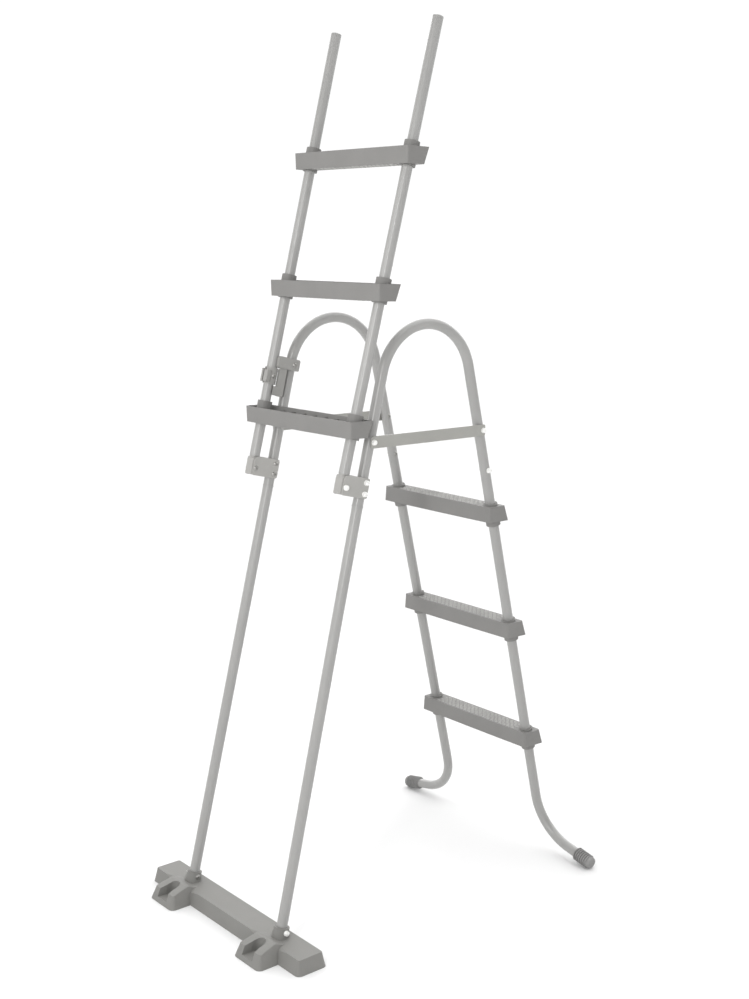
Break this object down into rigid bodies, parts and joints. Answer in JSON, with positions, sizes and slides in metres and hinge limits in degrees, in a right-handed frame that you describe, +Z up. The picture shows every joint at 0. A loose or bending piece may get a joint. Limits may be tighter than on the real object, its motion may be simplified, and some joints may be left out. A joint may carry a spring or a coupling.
{
  "type": "folding pool ladder",
  "caption": "A-frame ladder that stands over an above-ground pool wall; its outer steps fold up and latch to keep climbers out.",
  "frame": {"origin": "on the floor below the middle of the whole ladder", "axes": "+X across the ladder to its right-hand frame seen from outside, +Y towards the pool, +Z up"},
  "size_m": [0.7314, 0.9938, 2.1125],
  "materials": {
    "tube": "satin",
    "tread": "fine texture",
    "base": "fine texture",
    "fitting": "satin",
    "brace": "satin",
    "zinc": "zinc plated",
    "cap": "gloss",
    "foot": "matt"
  },
  "bodies": {
    "root": {"base_platform": "base", "upright_left": "tube", "upright_right": "tube", "handrail_left": "tube", "handrail_right": "tube", "inner_leg_left": "tube", "inner_leg_right": "tube", "foot_cap_left": "foot", "foot_cap_right": "foot", "brace_left": "brace", "brace_right": "brace", "pivot_bracket_left": "fitting", "pivot_bracket_right": "fitting", "inner_tread_top": "tread", "inner_tread_middle": "tread", "inner_tread_bottom": "tread", "inner_tread_screws": "zinc", "pivot_bolts": "zinc", "pivot_bolt_caps": "cap", "bracket_bolts": "zinc", "bracket_bolt_caps": "cap", "brace_bolts": "zinc", "brace_bolt_caps": "cap", "splice_bolts": "zinc", "splice_bolt_caps": "cap", "socket_bolts": "zinc", "socket_bolt_caps": "cap", "latch_housing": "fitting", "latch_housing_bolt": "zinc", "latch_housing_bolt_cap": "cap", "latch_pin": "zinc", "latch_spring": "zinc"},
    "steps": {"step_rail_left": "tube", "step_rail_right": "tube", "pivot_knuckle_left": "fitting", "pivot_knuckle_right": "fitting", "pivot_bushes": "cap", "step_tread_top": "tread", "step_tread_middle": "tread", "step_tread_bottom": "tread", "step_tread_screws": "zinc", "rail_end_plugs": "fitting", "strike_clip": "fitting", "strike_clip_bolt": "zinc", "strike_clip_bolt_cap": "cap"},
    "lever": {"latch_lever": "fitting"}
  },
  "joints": [
    {"name": "fold", "type": "hinge", "parent": "root", "child": "steps", "pos_m": [0, -0.21485, 1.06657], "axis": [1, 0, 0], "range_deg": [0, 181.05]},
    {"name": "latch", "type": "hinge", "parent": "root", "child": "lever", "pos_m": [-0.1598, -0.12746, 1.31464], "axis": [1, 0, 0], "range_deg": [0, 20], "stiffness_Nm_per_rad": 0.15}
  ]
}
